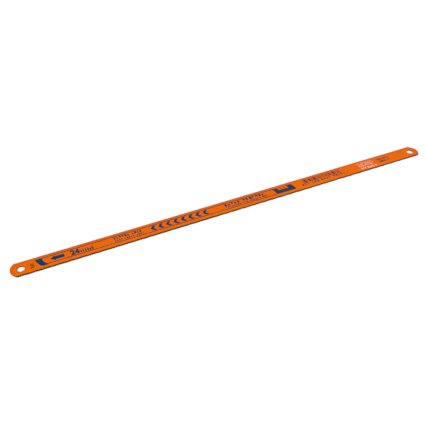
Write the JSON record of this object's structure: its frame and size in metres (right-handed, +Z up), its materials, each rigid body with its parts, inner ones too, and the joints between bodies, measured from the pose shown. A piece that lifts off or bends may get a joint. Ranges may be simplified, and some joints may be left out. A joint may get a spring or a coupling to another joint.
{
  "type": "hacksaw blade",
  "caption": "Flat hand hacksaw blade: a thin painted steel strip with wavy-set milled teeth along one edge and a pin hole near each rounded end.",
  "frame": {"origin": "midway between the pin holes and midway across the blade, on the surface that the blade lies on, which is the level of the teeth that are set furthest down", "axes": "+X along the blade towards the handle end, +Y from the teeth to the back edge, +Z up through the blade's thickness; the teeth point towards -X"},
  "size_m": [0.3128, 0.0126, 0.001],
  "materials": {
    "lacquered_steel": "glossy orange lacquer over steel"
  },
  "bodies": {
    "root": {"hacksaw_blade": "lacquered_steel"}
  },
  "joints": []
}
